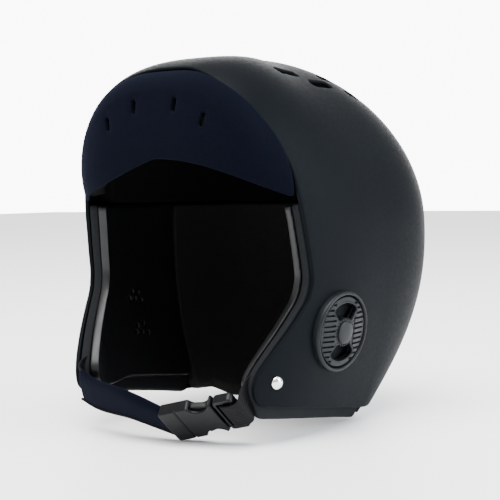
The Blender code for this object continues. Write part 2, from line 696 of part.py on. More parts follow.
# buckle frame: x along the strap towards the wearer's left, y up its width, z out of its face
BUCKLE_C = Vector((0.0386, -0.1187, 0.0134))
bu = Vector((0.9576, 0.1679, 0.2341)).normalized()
bw = Vector((0.0, -0.73, 0.68))
bw = (bw - bu * bw.dot(bu)).normalized()
bn = bu.cross(bw)
BUCKLE = Matrix((bu, bw, bn)).transposed().to_4x4()
BUCKLE.translation = BUCKLE_C


def on_buckle(x, y, z):
    return BUCKLE @ Vector((x, y, z))


left = [((TAB_X, RIVET_C.y + 0.0095, RIVET_C.z + 0.0016), (0.0, -0.17, 0.985)),
        ((TAB_X, RIVET_C.y, RIVET_C.z), (0.0, -0.17, 0.985)),
        ((0.0661, -0.1032, 0.0305), (0.0, -0.28, 0.96)),
        ((0.0648, -0.1068, 0.0272), (0.0, -0.42, 0.91)),
        (tuple(on_buckle(0.0286, 0.0, -0.0040)), (-0.02, -0.62, 0.78)),
        (tuple(on_buckle(0.0286, 0.0, 0.0022)), tuple(bw)),
        (tuple(on_buckle(0.0250, 0.0, 0.0046)), tuple(bw)),
        (tuple(on_buckle(0.0195, 0.0, 0.0042)), tuple(bw)),
        (tuple(on_buckle(0.0168, 0.0, 0.0030)), tuple(bw)),
        (tuple(on_buckle(0.0161, 0.0, -0.0010)), tuple(bw))]
web_l = ribbon("webbing_left", left, WEB_W, WEB_T, 4)
boolean(web_l, rod("cut_tab_left", (0.05, RIVET_C.y, RIVET_C.z), (0.08, RIVET_C.y, RIVET_C.z), 0.0030, True, 16))
apply_all(web_l)

right = [((-TAB_X, RIVET_C.y + 0.0095, RIVET_C.z + 0.0016), (0.0, -0.17, 0.985)),
         ((-TAB_X, RIVET_C.y, RIVET_C.z), (0.0, -0.17, 0.985)),
         ((-TAB_X, -0.1085, 0.0310), (0.0, -0.22, 0.97)),
         ((-0.0615, -0.1138, 0.0262), (-0.05, -0.34, 0.93)),
         ((-0.0443, -0.1190, 0.0198), (0.0, -0.46, 0.88)),
         ((-0.0134, -0.1250, 0.0171), (0.0, -0.60, 0.80)),
         (tuple(on_buckle(-0.0250, 0.0, 0.0)), tuple(bw))]
web_r = ribbon("webbing_right", right, WEB_W, WEB_T, 4)
boolean(web_r, rod("cut_tab_right", (-0.05, RIVET_C.y, RIVET_C.z), (-0.08, RIVET_C.y, RIVET_C.z), 0.0030, True, 16))
apply_all(web_r)

# soft chin sleeve around the right-hand webbing
sleeve_path = [((-0.0625, -0.1142, 0.0262), (-0.05, -0.32, 0.94)),
               ((-0.0443, -0.1190, 0.0198), (0.0, -0.46, 0.88)),
               ((-0.0134, -0.1250, 0.0171), (0.0, -0.60, 0.80)),
               (tuple(on_buckle(-0.0290, 0.0, 0.0)), tuple(bw))]
sleeve = ribbon("chin_sleeve", sleeve_path, 0.0250, 0.0070, 4)
bore = ribbon("cut_sleeve_bore", right[1:] + [(tuple(on_buckle(-0.0200, 0.0, 0.0)), tuple(bw))],
              WEB_W + 0.0012, WEB_T + 0.0014, 4)
boolean(sleeve, bore)
apply_all(sleeve)
bpy.data.objects.remove(bore, do_unlink=True)

# buckle, catch half: a hollow box with side windows and a webbing slot
CATCH_X = (-0.0245, 0.0118)
LADDER_X = (0.0125, 0.0262)
BUCKLE_HALF = 0.0140
WINDOW_X = (-0.0030, 0.0085)
catch = box("buckle_catch", (CATCH_X[0], -BUCKLE_HALF, -0.0042), (CATCH_X[1], BUCKLE_HALF, 0.0042), False,
            BUCKLE, 0.0012)
boolean(catch, box("cut_catch_hollow", (-0.0060, -0.0115, -0.0024), (0.0150, 0.0115, 0.0024), True, BUCKLE))
boolean(catch, box("cut_catch_windows", (WINDOW_X[0], -0.0200, -0.0024), (WINDOW_X[1], 0.0200, 0.0024), True, BUCKLE))
boolean(catch, box("cut_catch_slot", (-0.0222, -0.0108, -0.0060), (-0.0180, 0.0108, 0.0060), True, BUCKLE))
apply_all(catch)

# ladder half: frame with two slots, centre tongue between the two release prongs
ladder = box("buckle_ladder", (LADDER_X[0], -BUCKLE_HALF, -0.0030), (LADDER_X[1], BUCKLE_HALF, 0.0030), False,
             BUCKLE, 0.0010)
tongue = box("add_tongue", (-0.0040, -0.0030, -0.0016), (0.0130, 0.0030, 0.0016), True, BUCKLE)
boolean(ladder, tongue, "UNION")
boolean(ladder, box("cut_ladder_slot_a", (0.0202, -0.0108, -0.0060), (0.0236, 0.0108, 0.0060), True, BUCKLE))
boolean(ladder, box("cut_ladder_slot_b", (0.0146, -0.0108, -0.0060), (0.0180, 0.0108, 0.0060), True, BUCKLE))
apply_all(ladder)

# release prong: a thin arm whose thumb pad fills the catch's side window, (x, y) of its upper one
PRONG = [(0.0122, 0.0104), (0.0122, 0.0080), (0.0020, 0.0080), (-0.0024, 0.0090), (-0.0024, 0.0133),
         (0.0036, 0.0118), (0.0070, 0.0109), (0.0105, 0.0104)]


def prong(name, side):
    outline = [(x, side * y) for x, y in PRONG]
    if side < 0:
        outline = outline[::-1]
    return prism(name, outline, BUCKLE, 0.0019, False)


prong_a = prong("release_prong_upper", 1)
prong_b = prong("release_prong_lower", -1)
for o in (prong_a, prong_b):
    apply_all(o)

finish(web_l, BLACK, 0.9, pivot=STRAP_AXIS)
finish(web_r, BLACK, 0.9, pivot=STRAP_AXIS)
finish(sleeve, NAVY, 0.95, pivot=STRAP_AXIS)
finish(ladder, BLACK, 0.35, pivot=STRAP_AXIS)
finish(catch, BLACK, 0.35, pivot=BUCKLE_C)
finish(prong_a, BLACK, 0.35, pivot=on_buckle(0.0, 0.011, 0.0))
finish(prong_b, BLACK, 0.35, pivot=on_buckle(0.0, -0.011, 0.0))
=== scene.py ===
"""Looks of the open-face water helmet: fine skins, foam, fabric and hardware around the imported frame.

Lengths are metres. Shapes are written in the design frame of the part, whose origin lies ORIGIN away
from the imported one: the face looks along -Y, the wearer's left is +X, +Z is up.
"""
import math

import bpy
import numpy as np
from mathutils import Matrix, Vector


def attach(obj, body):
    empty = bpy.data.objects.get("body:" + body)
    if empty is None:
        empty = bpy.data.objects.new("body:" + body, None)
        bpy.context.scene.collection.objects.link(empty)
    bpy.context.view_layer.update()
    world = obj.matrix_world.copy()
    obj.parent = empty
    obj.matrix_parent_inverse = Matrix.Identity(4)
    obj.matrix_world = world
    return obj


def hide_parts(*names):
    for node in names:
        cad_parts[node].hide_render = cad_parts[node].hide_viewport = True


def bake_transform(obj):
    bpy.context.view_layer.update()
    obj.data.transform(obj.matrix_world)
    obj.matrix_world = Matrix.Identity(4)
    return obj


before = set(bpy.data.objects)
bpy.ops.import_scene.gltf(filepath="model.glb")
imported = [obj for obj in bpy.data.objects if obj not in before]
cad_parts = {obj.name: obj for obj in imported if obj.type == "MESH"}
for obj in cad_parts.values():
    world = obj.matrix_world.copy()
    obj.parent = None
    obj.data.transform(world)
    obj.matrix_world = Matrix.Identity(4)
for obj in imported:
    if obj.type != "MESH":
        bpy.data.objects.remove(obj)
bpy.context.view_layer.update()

ORIGIN = np.array([0.0, 0.0126, 0.0044])
SIDES = (("left", 1.0), ("right", -1.0))

# ---------------------------------------------------------------- driving dimensions, as in the part
HALF_WIDTH, FRONT, BACK, TOP_Z, WIDE_Z = 0.0975, 0.1268, 0.1105, 0.2351, 0.1236
N_SIDE, N_FRONT, M_PLAN = 1.961, 3.314, 2.998
M_FRONT_GAIN, M_BACK, M_BACK_GAIN, M_BACK_LOSS = 0.452, 2.820, 0.427, 1.429
SIDE_TAPER, SIDE_POW, FRONT_FLARE = 0.2258, 2.396, 0.2151
BACK_TAPER, BACK_POW = 0.5714, 2.2
CROWN_SHIFT = -0.0145
SHELL_T = 0.0030
LINER_OUT, LINER_IN, PAD_OUT, PAD_IN = 0.0038, 0.0095, 0.0104, 0.0158
BROW_FRONT, BROW_HALF, BROW_T = 0.1139, 0.0983, 0.0026
BROW_M, BROW_M_GAIN, BROW_N, BROW_SHIFT = 3.854, 0.415, 3.011, -0.0290
SPLIT_Y, LINER_TOP, FOAM_DROP = 0.0055, 0.1400, 0.0086
VENT_C = Vector((0.0919, -0.0496, 0.0606))
VENT_N = Vector((0.985, -0.080, -0.150)).normalized()
RIVET_C = Vector((0.0779, -0.0985, 0.0338))
RIVET_N = Vector((0.93, -0.34, -0.13)).normalized()
TAB_X = 0.0664
WEB_W, WEB_T = 0.0200, 0.0016

# face opening and lower rim in side view (y, z)
EDGE = [(-0.0900, 0.2600), (-0.0915, 0.2400), (-0.0936, 0.2290), (-0.0975, 0.2250), (-0.1012, 0.2205),
        (-0.1026, 0.2140), (-0.1010, 0.2066), (-0.0978, 0.1974), (-0.0935, 0.1853), (-0.0896, 0.1728),
        (-0.0862, 0.1579), (-0.0838, 0.1418), (-0.0806, 0.1239), (-0.0777, 0.1059), (-0.0763, 0.0938),
        (-0.0790, 0.0826), (-0.0854, 0.0734), (-0.0919, 0.0649), (-0.1009, 0.0537), (-0.1083, 0.0437),
        (-0.1119, 0.0369), (-0.1129, 0.0310), (-0.1124, 0.0268), (-0.1105, 0.0228)]
RIM = [(-0.1070, 0.0198), (-0.0895, 0.0172), (-0.0546, 0.0125), (-0.0237, 0.0082), (-0.0050, 0.0052),
       (0.0060, 0.0042), (0.0230, 0.0042), (0.0500, 0.0042), (0.0950, 0.0042)]
RIM_LOW = 0.0042


# ---------------------------------------------------------------- curves and distances
def spline(points, steps):
    """Smooth curve through the points (Catmull-Rom)."""
    pts = np.array(points, float)
    ends = np.vstack([pts[:1], pts, pts[-1:]])
    t = (np.arange(steps) / steps)[:, None]
    out = []
    for a, b, c, d in zip(ends, ends[1:], ends[2:], ends[3:]):
        out.append(0.5 * (2 * b + (c - a) * t + (2 * a - 5 * b + 4 * c - d) * t ** 2
                          + (3 * b - a - 3 * c + d) * t ** 3))
    return np.vstack(out + [pts[-1:]])


def outline_distance(polygon, q):
    """Signed distance of 2D points to a closed polygon, negative inside."""
    a = np.asarray(polygon, float)
    b = np.roll(a, -1, axis=0)
    best = np.full(len(q), 1e9)
    inside = np.zeros(len(q), bool)
    for (ax, ay), (bx, by) in zip(a, b):
        ex, ey = bx - ax, by - ay
        length2 = ex * ex + ey * ey
        if length2 < 1e-16:
            continue
        t = np.clip(((q[:, 0] - ax) * ex + (q[:, 1] - ay) * ey) / length2, 0, 1)
        best = np.minimum(best, np.hypot(q[:, 0] - ax - t * ex, q[:, 1] - ay - t * ey))
        if ay != by:
            crosses = (ay > q[:, 1]) != (by > q[:, 1])
            inside ^= crosses & (q[:, 0] < ax + (q[:, 1] - ay) * ex / ey)
    return np.where(inside, -best, best)


def stadium_distance(q, length, width):
    """Signed distance of 2D points to a slot outline with round ends along its first axis."""
    reach = np.maximum(np.abs(q[:, 0]) - (length - width) / 2, 0)
    return np.hypot(reach, q[:, 1]) - width / 2


def local_frame(origin, normal, up=Vector((0, 0, 1))):
    """Frame with its z along the normal and its y near `up`."""
    z = Vector(normal).normalized()
    x = Vector(up).cross(z).normalized()
    m = Matrix((x, z.cross(x), z)).transposed().to_4x4()
    m.translation = origin
    return m


def into(matrix, points):
    inverse = np.array(matrix.inverted())
    return points @ inverse[:3, :3].T + inverse[:3, 3]


def out_of(matrix, points):
    m = np.array(matrix)
    return points @ m[:3, :3].T + m[:3, 3]


edge_curve = spline(EDGE, 6)
rim_curve = spline(RIM, 6)
rim_curve[:, 1] = np.maximum(rim_curve[:, 1], RIM_LOW)


# ---------------------------------------------------------------- helmet surfaces
def ramp(v, v0, v1):
    """0 below v0, 1 above v1, smooth between."""
    t = np.clip((v - v0) / (v1 - v0), 0.0, 1.0)
    return t * t * (3 - 2 * t)


def signed_power(v, e):
    return np.copysign(np.abs(v) ** e, v)


def section_angle(beta, m, half, reach):
    return np.arctan2(signed_power(np.sin(beta) / reach, m / 2), signed_power(np.cos(beta) / half, m / 2))


def dome(beta, s):
    """Outer shell surface: s 0 crown, 1 widest section, 2 the design level z = 0."""
    front = np.sin(beta) < 0
    w = np.maximum(s - 1, 0)
    m = np.where(front, M_PLAN + M_FRONT_GAIN * w, M_BACK + M_BACK_GAIN * w - M_BACK_LOSS * w * w)
    reach = np.where(front, FRONT * (1 + FRONT_FLARE * w ** SIDE_POW),
                     BACK * (1 - BACK_TAPER * w ** BACK_POW))
    half = HALF_WIDTH * (1 - SIDE_TAPER * w ** SIDE_POW)
    phi = section_angle(beta, m, half, reach)
    c, sn = np.cos(phi), np.sin(phi)
    h = np.where(s <= 1, np.cos(np.minimum(s, 1) * math.pi / 2), 0.0)
    h = np.maximum(h, 0.0)
    n = N_SIDE + np.where(front, (N_FRONT - N_SIDE) * sn * sn, 0.0)
    z = np.where(s <= 1, WIDE_Z + (TOP_Z - WIDE_Z) * h ** (2 / N_SIDE), WIDE_Z * (2 - s))
    r = np.maximum(1 - h ** (2 * n / N_SIDE), 0) ** (1 / n)
    return np.stack([half * r * signed_power(c, 2 / m),
                     CROWN_SHIFT * h * h + reach * r * signed_power(sn, 2 / m), z], axis=1)


def brow(beta, s):
    """Outer surface of the soft brow panel, front half only."""
    level = np.maximum(np.cos(np.minimum(s, 1) * math.pi / 2), 0) ** (2 / N_SIDE)
    z = np.where(s <= 1, WIDE_Z + (TOP_Z - WIDE_Z) * level, WIDE_Z * (2 - s))
    k = np.clip((z - WIDE_Z) / (TOP_Z - WIDE_Z), 1e-6, 0.99999)
    m = BROW_M + BROW_M_GAIN * (z - 0.16) / 0.04
    rx, ry = (1 - k ** N_SIDE) ** (1 / N_SIDE), (1 - k ** BROW_N) ** (1 / BROW_N)
    reach = BROW_FRONT - 0.0069 * np.maximum((0.175 - z) / 0.03, 0) ** 2
    phi = section_angle(beta, m, BROW_HALF, reach)
    return np.stack([BROW_HALF * rx * signed_power(np.cos(phi), 2 / m),
                     BROW_SHIFT * k ** N_SIDE + reach * ry * signed_power(np.sin(phi), 2 / m), z], axis=1)


def with_normals(f, centre=(0, -0.01, 0.10), e=0.003):
    """Surface function of (n, 2) parameters that also gives outward unit normals."""
    def surface(q):
        b, s = q[:, 0], np.maximum(q[:, 1], 2 * e)
        p = f(b, s)
        n = np.cross(f(b + e, s) - f(b - e, s), f(b, s + e) - f(b, s - e))
        n /= np.maximum(np.linalg.norm(n, axis=1), 1e-15)[:, None]
        n *= np.where(np.einsum("ij,ij->i", n, p - np.array(centre)) < 0, -1.0, 1.0)[:, None]
        return p, n
    return surface


# ---------------------------------------------------------------- mesh making
def new_mesh(name, verts, faces, smooth=60.0):
    """Object from design-frame points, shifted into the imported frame."""
    mesh = bpy.data.meshes.new(name)
    mesh.from_pydata((np.asarray(verts, float) + ORIGIN).tolist(), [], [list(f) for f in faces])
    mesh.update()
    mesh.shade_smooth()
    if smooth < 180:
        mesh.set_sharp_from_angle(angle=math.radians(smooth))
    obj = bpy.data.objects.new(name, mesh)
    bpy.context.scene.collection.objects.link(obj)
    return obj


def clip_grid(surface, us, vs, wrap, keep):
    """Polygons of a (u, v) grid where keep() is negative, cut exactly along its zero line."""
    nu, nv = len(us), len(vs)
    params = np.stack([a.ravel() for a in np.meshgrid(us, vs, indexing="ij")], axis=1)
    index = np.arange(nu * nv).reshape(nu, nv)
    points, _ = surface(params)
    g = keep(points, params)
    ring = np.vstack([index, index[:1]]) if wrap else index
    pairs = np.vstack([np.stack([ring[:-1].ravel(), ring[1:].ravel()], 1),
                       np.stack([index[:, :-1].ravel(), index[:, 1:].ravel()], 1)])
    crossing = pairs[(g[pairs[:, 0]] < 0) != (g[pairs[:, 1]] < 0)]
    lo, hi = params[crossing[:, 0]].copy(), params[crossing[:, 1]].copy()
    hi[:, 0] += np.where(hi[:, 0] < lo[:, 0] - math.pi, 2 * math.pi, 0.0)
    low_in = g[crossing[:, 0]] < 0
    t0, t1 = np.zeros(len(lo)), np.ones(len(lo))
    for _ in range(16):
        t = (t0 + t1) / 2
        q = lo + (hi - lo) * t[:, None]
        same = (keep(surface(q)[0], q) < 0) == low_in
        t0, t1 = np.where(same, t, t0), np.where(same, t1, t)
    cut = lo + (hi - lo) * ((t0 + t1) / 2)[:, None]
    cut_id = {(min(a, b), max(a, b)): len(params) + i for i, (a, b) in enumerate(crossing.tolist())}
    everything = np.vstack([params, cut])
    kept = g < 0
    polygons = []
    for i in range(nu if wrap else nu - 1):
        j = (i + 1) % nu
        for k in range(nv - 1):
            corners = (int(index[i, k]), int(index[j, k]), int(index[j, k + 1]), int(index[i, k + 1]))
            state = [bool(kept[c]) for c in corners]
            if all(state):
                polygons.append(corners)
            elif any(state):
                shape = []
                for a, b, in_a, in_b in zip(corners, corners[1:] + corners[:1], state, state[1:] + state[:1]):
                    if in_a:
                        shape.append(a)
                    if in_a != in_b:
                        shape.append(cut_id[(min(a, b), max(a, b))])
                polygons.append(tuple(shape))
    return everything, polygons


def boundary_loops(polygons):
    """Loops of the edges that only one polygon has, each walked with its polygon on the left."""
    directed = set()
    for p in polygons:
        directed.update(zip(p, p[1:] + p[:1]))
    after = {a: b for a, b in directed if (b, a) not in directed}
    loops = []
    while after:
        start, b = after.popitem()
        loop = [start]
        while b != start and b in after:
            loop.append(b)
            b = after.pop(b)
        loops.append(loop)
    return loops


def skin(name, surface, us, vs, wrap, keep, outer, inner, lip, power=2.0, rings=6, relief=None, pole=False,
         smooth=60.0, clean=0.00025):
    """Closed layer between two depths under a surface, cut to keep(), with rounded edges `lip` deep."""
    params, polygons = clip_grid(surface, us, vs, wrap, lambda p, q: keep(p, q) + lip)
    used = sorted({i for p in polygons for i in p})
    number = {old: new for new, old in enumerate(used)}
    polygons = [tuple(number[i] for i in p) for p in polygons]
    q = params[used]
    base, normal = surface(q)
    if pole:
        top = [number[i * len(vs)] for i in range(len(us))]
        base = np.vstack([base, base[top].mean(0)])
        normal = np.vstack([normal, normal[top].mean(0)])
        q = np.vstack([q, q[top[:1]]])
        centre = len(base) - 1
        edges = {e for p in polygons for e in zip(p, p[1:] + p[:1])}
        for a, b in zip(top, top[1:] + top[:1]):
            polygons.append((b, a, centre) if (a, b) in edges else (a, b, centre))
    first = polygons[len(polygons) // 2]
    flat = np.cross(base[first[1]] - base[first[0]], base[first[2]] - base[first[0]])
    if flat @ normal[first[0]] < 0:
        polygons = [p[::-1] for p in polygons]
    lift = relief(base, q) if relief is not None else np.zeros(len(base))
    count = len(base)
    verts = [base - normal * (outer - lift)[:, None] if relief is not None else base - normal * outer,
             base - normal * inner]
    faces = list(polygons) + [tuple(i + count for i in p[::-1]) for p in polygons]
    total = 2 * count
    middle, half = (outer + inner) / 2, (inner - outer) / 2
    for loop in boundary_loops(polygons):
        ids = np.array(loop)
        p, n = base[ids], normal[ids]
        reach = 2 if len(ids) > 8 else 1
        along = np.roll(p, -reach, axis=0) - np.roll(p, reach, axis=0)
        out = np.cross(along, n)
        out /= np.maximum(np.linalg.norm(out, axis=1), 1e-12)[:, None]
        rows = [ids]
        for k in range(1, rings):
            theta = math.pi * k / rings
            c = math.copysign(abs(math.cos(theta)) ** (2 / power), math.cos(theta))
            s = math.sin(theta) ** (2 / power)
            raised = lift[ids] * (1 + c) / 2
            verts.append(p - n * (middle - half * c - raised)[:, None] + out * (lip * s))
            rows.append(np.arange(total, total + len(ids)))
            total += len(ids)
        rows.append(ids + count)
        for upper, lower in zip(rows, rows[1:]):
            up2, low2 = np.roll(upper, -1), np.roll(lower, -1)
            faces += zip(up2.tolist(), upper.tolist(), lower.tolist(), low2.tolist())
    obj = new_mesh(name, np.vstack(verts), faces, smooth)
    if clean:
        weld = obj.modifiers.new("weld", "WELD")
        weld.merge_threshold = clean * 0.2
    return obj


def even(a, b, n):
    return np.linspace(a, b, n)


def closed_angles(n):
    return np.arange(n) * 2 * math.pi / n


# ---------------------------------------------------------------- materials
class Shader:
    """Principled material built up node by node."""

    def __init__(self, name, color, rough, metal=0.0, **sockets):
        self.material = bpy.data.materials.new(name)
        self.material.use_nodes = True
        self.tree = self.material.node_tree
        self.bsdf = self.tree.nodes["Principled BSDF"]
        self.bsdf.inputs["Base Color"].default_value = (*color, 1)
        self.bsdf.inputs["Roughness"].default_value = rough
        self.bsdf.inputs["Metallic"].default_value = metal
        for key, value in sockets.items():
            self.bsdf.inputs[key.replace("_", " ")].default_value = value
        self.where = self.tree.nodes.new("ShaderNodeTexCoord").outputs["Object"]
        self.height = None

    def node(self, kind, **values):
        n = self.tree.nodes.new("ShaderNode" + kind)
        for key, value in values.items():
            if hasattr(n, key):
                setattr(n, key, value)
            else:
                n.inputs[key.replace("_", " ")].default_value = value
        return n

    def link(self, a, b):
        self.tree.links.new(a, b)

    def noise(self, scale, detail=2.0, roughness=0.5, stretch=None):
        n = self.node("TexNoise", Scale=scale, Detail=detail, Roughness=roughness)
        where = self.where
        if stretch is not None:
            m = self.node("Mapping")
            m.inputs["Scale"].default_value = stretch
            self.link(where, m.inputs["Vector"])
            where = m.outputs["Vector"]
        self.link(where, n.inputs["Vector"])
        return n.outputs["Fac"]

    def ranged(self, value, lo, hi, start=0.3, end=0.7):
        m = self.node("MapRange")
        for socket, v in zip(("From Min", "From Max", "To Min", "To Max"), (start, end, lo, hi)):
            m.inputs[socket].default_value = v
        self.link(value, m.inputs["Value"])
        return m.outputs["Result"]

    def vary_rough(self, value, lo, hi):
        self.link(self.ranged(value, lo, hi), self.bsdf.inputs["Roughness"])

    def vary_color(self, value, a, b, start=0.3, end=0.7):
        mix = self.node("Mix", data_type="RGBA")
        mix.inputs["A"].default_value = (*a, 1)
        mix.inputs["B"].default_value = (*b, 1)
        self.link(self.ranged(value, 0, 1, start, end), mix.inputs["Factor"])
        self.link(mix.outputs["Result"], self.bsdf.inputs["Base Color"])

    def bump(self, value, strength, distance):
        b = self.node("Bump")
        b.inputs["Strength"].default_value = strength
        b.inputs["Distance"].default_value = distance
        self.link(value, b.inputs["Height"])
        if self.height is not None:
            self.link(self.height, b.inputs["Normal"])
        self.height = b.outputs["Normal"]
        self.link(self.height, self.bsdf.inputs["Normal"])


def shell_material():
    s = Shader("shell_matte", (0.0016, 0.0024, 0.0035), 0.5, Specular_IOR_Level=0.04)
    broad = s.noise(14, 3)
    s.vary_color(broad, (0.0014, 0.0022, 0.0032), (0.0019, 0.0028, 0.0040))
    s.vary_rough(s.noise(420, 2), 0.47, 0.56)
    s.bump(s.noise(2600, 2, 0.6), 0.16, 0.00012)
    return s.material


def neoprene_material():
    s = Shader("brushed_neoprene", (0.0010, 0.0013, 0.0040), 0.95, Specular_IOR_Level=0.04, Sheen_Weight=0.045,
               Sheen_Roughness=0.45, Sheen_Tint=(0.20, 0.26, 0.52, 1))
    s.vary_color(s.noise(900, 4, 0.7), (0.0007, 0.0010, 0.0030), (0.0013, 0.0018, 0.0052))
    s.bump(s.noise(1500, 4, 0.7), 0.45, 0.0004)
    s.bump(s.noise(60, 3), 0.25, 0.0010)
    return s.material


def foam_material(name, a, b, rough=0.85):
    s = Shader(name, a, rough, Specular_IOR_Level=0.10)
    s.vary_color(s.noise(500, 3, 0.6), a, b)
    v = s.node("TexVoronoi", Scale=1500.0)
    s.link(s.where, v.inputs["Vector"])
    s.bump(v.outputs["Distance"], 0.22, 0.0002)
    return s.material


def pad_material():
    s = Shader("pad_skin", (0.0025, 0.0028, 0.0032), 0.34, Specular_IOR_Level=0.32)
    s.vary_rough(s.noise(200, 3), 0.33, 0.43)
    s.bump(s.noise(1100, 3, 0.6), 0.14, 0.00015)
    return s.material


def moulded_material(name, color, lo, hi, grain=1500, depth=0.0001, spec=0.5):
    s = Shader(name, color, (lo + hi) / 2, Specular_IOR_Level=spec)
    s.vary_color(s.noise(80, 3), tuple(c * 0.88 for c in color), tuple(c * 1.12 for c in color))
    s.vary_rough(s.noise(260, 3), lo, hi)
    s.bump(s.noise(grain, 2, 0.6), 0.15, depth)
    return s.material


def webbing_material():
    s = Shader("webbing_weave", (0.0020, 0.0020, 0.0024), 0.75, Specular_IOR_Level=0.12)
    s.vary_color(s.noise(1400, 3, 0.7), (0.0012, 0.0012, 0.0015), (0.0035, 0.0035, 0.0040))
    s.bump(s.noise(3200, 2, 0.7), 0.5, 0.0003)
    return s.material


def chrome_material():
    s = Shader("chrome", (0.83, 0.83, 0.84), 0.10, 1.0)
    s.vary_rough(s.noise(600, 3), 0.07, 0.14)
    s.bump(s.noise(900, 2), 0.05, 0.00005)
    return s.material


SHELL = shell_material()
NEOPRENE = neoprene_material()
EVA = foam_material("eva_band", (0.0060, 0.0068, 0.0080), (0.0085, 0.0093, 0.0105))
RIM_FOAM = foam_material("rim_foam", (0.0085, 0.0078, 0.0078), (0.0115, 0.0105, 0.0105))
# Near-black copy of the EVA foam for the pads inside the helmet: the darkness is painted shade for the interior.
EVA_PAINTED_SHADE = foam_material("eva_foam_painted_shade", (0.0005, 0.0005, 0.0006), (0.0008, 0.0008, 0.0009), 0.95)
PAD = pad_material()
VENT = moulded_material("vent_moulding", (0.0040, 0.0050, 0.0062), 0.34, 0.44, spec=0.16)
BUCKLE = moulded_material("buckle_moulding", (0.0014, 0.0018, 0.0022), 0.28, 0.38, spec=0.14)
WEBBING = webbing_material()
CHROME = chrome_material()


def place(obj, material, body, slot, *nodes):
    """Give a piece its material and its body, and hide the CAD nodes that it stands for; the slot is not used."""
    obj.data.materials.clear()
    obj.data.materials.append(material)
    if body is not None:
        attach(obj, body)
    if nodes:
        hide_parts(*nodes)
    return obj


# ---------------------------------------------------------------- outer shell
dome_surface = with_normals(dome)
brow_surface = with_normals(brow)
LEVELS = np.concatenate([[0.014], even(0.03, 2.08, 128)])
AROUND = closed_angles(300)
beyond = np.vstack([edge_curve, rim_curve, [(0.16, RIM_LOW), (0.16, -0.08), (-0.22, -0.08), (-0.22, 0.26)]])

CROWN_SLOTS = [((0.0442, -0.0339, 0.2231), (0.52, 0.07, 0.85)), ((0.0531, -0.0072, 0.2163), (0.61, 0.0, 0.79)),
               ((0.0445, 0.0157, 0.2207), (0.48, 0.14, 0.86)), ((0.0565, 0.0300, 0.2096), (0.60, 0.20, 0.77))]


def mirror(v, side):
    return Vector((v[0] * side, v[1], v[2]))


slot_frames = [local_frame(mirror(c, side), mirror(n, side), Vector((1, 0, 0)))
               for _, side in SIDES for c, n in CROWN_SLOTS]
vent_frames = {name: local_frame(mirror(VENT_C, side), mirror(VENT_N, side)) for name, side in SIDES}


def slot_hole(p, length, width):
    """Positive inside any crown slot."""
    g = np.full(len(p), -1.0)
    for m in slot_frames:
        q = into(m, p)
        g = np.maximum(g, np.where(np.abs(q[:, 2]) < 0.02, -stadium_distance(q, length, width), -1.0))
    return g


def vent_hole(p, radius):
    g = np.full(len(p), -1.0)
    for m in vent_frames.values():
        q = into(m, p)
        g = np.maximum(g, np.where(np.abs(q[:, 2]) < 0.02, radius - np.hypot(q[:, 0], q[:, 1]), -1.0))
    return g


def seam_pull(z):
    """How far the shell and the panel reach into the seam between them."""
    return 0.0012 * ramp(z, 0.160, 0.180)


def keep_shell(p, q):
    g = -outline_distance(beyond, p[:, 1:]) - seam_pull(p[:, 2])
    return np.maximum(np.maximum(g, slot_hole(p, 0.0235, 0.0075)), vent_hole(p, 0.0205))


shell = skin("shell", dome_surface, AROUND, LEVELS, True, keep_shell, 0.0, SHELL_T, 0.0013, 2.6, 8, pole=True)
place(shell, SHELL, "helmet", "shell_plastic", "outer_shell")


# ---------------------------------------------------------------- soft brow panel
def brow_low(x):
    droop = np.where(x < 0, 0.0075 * np.sin(math.pi * np.minimum(np.abs(x) / 0.088, 1.0)), 0.0)
    return 0.1678 - 3.70 * x * x + 21.0 * x ** 4 - droop


BROW_SLOT_LONG, BROW_SLOT_WIDE = 0.0085, 0.0030
BROW_SLOTS = [(0.0164, 0.2027, 0.10), (0.0384, 0.1926, 0.26),
              (-0.0164, 0.2027, -0.10), (-0.0384, 0.1926, -0.26)]
brow_slot_frames = [local_frame(Vector((x, -0.118, z)), Vector((x * 6.0, -0.88, 0.42)), Vector((lean, 0, 1)))
                    for x, z, lean in BROW_SLOTS]
front_region = np.vstack([edge_curve[edge_curve[:, 1] > 0.128], [(-0.20, 0.128), (-0.20, 0.26)]])


def brow_slot_hole(p, length, width):
    g = np.full(len(p), -1.0)
    for m in brow_slot_frames:
        q = into(m, p)
        inside = -stadium_distance(q[:, [1, 0]], length, width)
        g = np.maximum(g, np.where(np.abs(q[:, 2]) < 0.02, inside, -1.0))
    return g


def keep_brow(gap, low):
    def keep(p, q):
        shifted = p[:, 1:] + np.array([gap, 0.0])
        g = outline_distance(front_region, shifted) - seam_pull(p[:, 2])
        slope = np.abs(7.4 * p[:, 0] - 84 * p[:, 0] ** 3)
        return np.maximum(g, (brow_low(p[:, 0]) + low - p[:, 2]) / np.sqrt(1 + slope ** 2))
    return keep


def keep_panel(p, q):
    return np.maximum(keep_brow(0.0005, 0.0)(p, q), brow_slot_hole(p, BROW_SLOT_LONG, BROW_SLOT_WIDE))


def dome_height(x, y):
    """Height of the shell's surface over points of its front half."""
    h2 = np.full(len(x), 0.8)
    z = np.full(len(x), TOP_Z)
    for _ in range(12):
        back = np.minimum(y - CROWN_SHIFT * h2, -1e-6)
        phi = np.arctan2((np.abs(back) / FRONT) ** (M_PLAN / 2), (np.abs(x) / HALF_WIDTH) ** (M_PLAN / 2))
        n = N_SIDE + (N_FRONT - N_SIDE) * np.sin(phi) ** 2
        r = ((np.abs(x) / HALF_WIDTH) ** M_PLAN + (np.abs(back) / FRONT) ** M_PLAN) ** (1 / M_PLAN)
        k = np.maximum(1 - np.minimum(r, 0.999) ** n, 0.0) ** (1 / n)
        h2 = 0.5 * h2 + 0.5 * k ** N_SIDE
        z = WIDE_Z + (TOP_Z - WIDE_Z) * k
    return z


